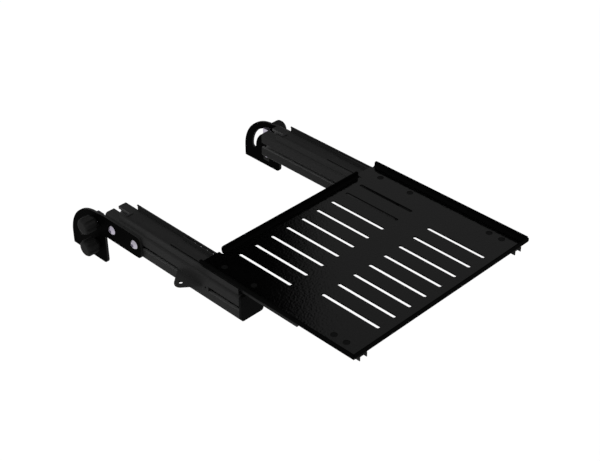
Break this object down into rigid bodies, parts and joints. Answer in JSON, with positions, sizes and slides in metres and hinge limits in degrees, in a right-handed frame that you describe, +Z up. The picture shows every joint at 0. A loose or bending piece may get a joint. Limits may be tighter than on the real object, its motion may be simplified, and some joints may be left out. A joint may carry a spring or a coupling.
{
  "type": "sliding_shelf",
  "caption": "Black sheet-metal keyboard shelf with strap slots, on flat ball-bearing slides over two T-slot arms that tilt in clamped bracket plates.",
  "frame": {"origin": "middle of the tilt axis, level with the two lower studs and halfway between the bracket plates", "axes": "+X to the user's right along the tilt axis, -Y toward the user (the way the tray slides out), +Z up"},
  "size_m": [0.4056, 0.5728, 0.1125],
  "materials": {
    "powder_coat": "satin",
    "anodised": "satin",
    "black_rail": "satin",
    "black_plastic": "matte",
    "zinc": "satin",
    "ball_steel": "polished",
    "rubber": "matte"
  },
  "bodies": {
    "rig_anchor": {"pivot_rig_nuts": "black_rail", "clamp_rig_nuts": "zinc", "clamp_washers": "black_rail"},
    "arms": {"arm_left": "anodised", "arm_right": "anodised", "arm_cap_left": "black_plastic", "arm_cap_right": "black_plastic", "bracket_left": "powder_coat", "bracket_right": "powder_coat", "bracket_bolts": "zinc", "bracket_nuts": "zinc", "rail_outer_left": "black_rail", "rail_outer_right": "black_rail", "rail_screws": "black_rail", "rail_nuts": "zinc", "rail_bumpers": "rubber", "pivot_washers": "black_rail", "cable_tab": "anodised", "tab_screw": "black_rail"},
    "middle_rails": {"rail_middle_left": "black_rail", "rail_middle_right": "black_rail"},
    "outer_cages": {"outer_cage_left": "black_rail", "outer_cage_right": "black_rail", "outer_balls": "ball_steel"},
    "inner_cages": {"inner_cage_left": "black_rail", "inner_cage_right": "black_rail", "inner_balls": "ball_steel"},
    "tray": {"tray": "powder_coat", "rail_inner_left": "black_rail", "rail_inner_right": "black_rail", "tray_screws": "black_rail", "tray_nuts": "zinc"},
    "clamp_grip_left": {"clamp_knob_left": "black_plastic", "clamp_stud_left": "zinc"},
    "clamp_grip_right": {"clamp_knob_right": "black_plastic", "clamp_stud_right": "zinc"},
    "pivot_grip_left": {"pivot_knob_left": "black_plastic", "pivot_stud_left": "zinc"},
    "pivot_grip_right": {"pivot_knob_right": "black_plastic", "pivot_stud_right": "zinc"}
  },
  "joints": [
    {"name": "tilt", "type": "hinge", "parent": "rig_anchor", "child": "arms", "pos_m": [0, 0, 0], "axis": [1, 0, 0], "range_deg": [-8, 90]},
    {"name": "tray_slide", "type": "slide", "parent": "arms", "child": "tray", "axis": [0, -1, 0], "range_m": [-0.205, 0.0425]},
    {"name": "middle_slide", "type": "slide", "parent": "arms", "child": "middle_rails", "axis": [0, -1, 0], "range_m": [-0.1027, 0.0214]},
    {"name": "outer_cage_slide", "type": "slide", "parent": "arms", "child": "outer_cages", "axis": [0, -1, 0], "range_m": [-0.0514, 0.0108]},
    {"name": "inner_cage_slide", "type": "slide", "parent": "arms", "child": "inner_cages", "axis": [0, -1, 0], "range_m": [-0.1539, 0.032]},
    {"name": "clamp_turn_left", "type": "hinge", "parent": "rig_anchor", "child": "clamp_grip_left", "pos_m": [-0.19, 0, 0.0385], "axis": [1, 0, 0], "continuous": true},
    {"name": "clamp_turn_right", "type": "hinge", "parent": "rig_anchor", "child": "clamp_grip_right", "pos_m": [0.19, 0, 0.0385], "axis": [1, 0, 0], "continuous": true},
    {"name": "pivot_turn_left", "type": "hinge", "parent": "rig_anchor", "child": "pivot_grip_left", "pos_m": [-0.19, 0, 0], "axis": [1, 0, 0], "continuous": true},
    {"name": "pivot_turn_right", "type": "hinge", "parent": "rig_anchor", "child": "pivot_grip_right", "pos_m": [0.19, 0, 0], "axis": [1, 0, 0], "continuous": true}
  ],
  "couplings": [
    {"joint": "middle_slide", "follows": "tray_slide", "ratio": 0.5},
    {"joint": "outer_cage_slide", "follows": "tray_slide", "ratio": 0.25},
    {"joint": "inner_cage_slide", "follows": "tray_slide", "ratio": 0.75}
  ]
}
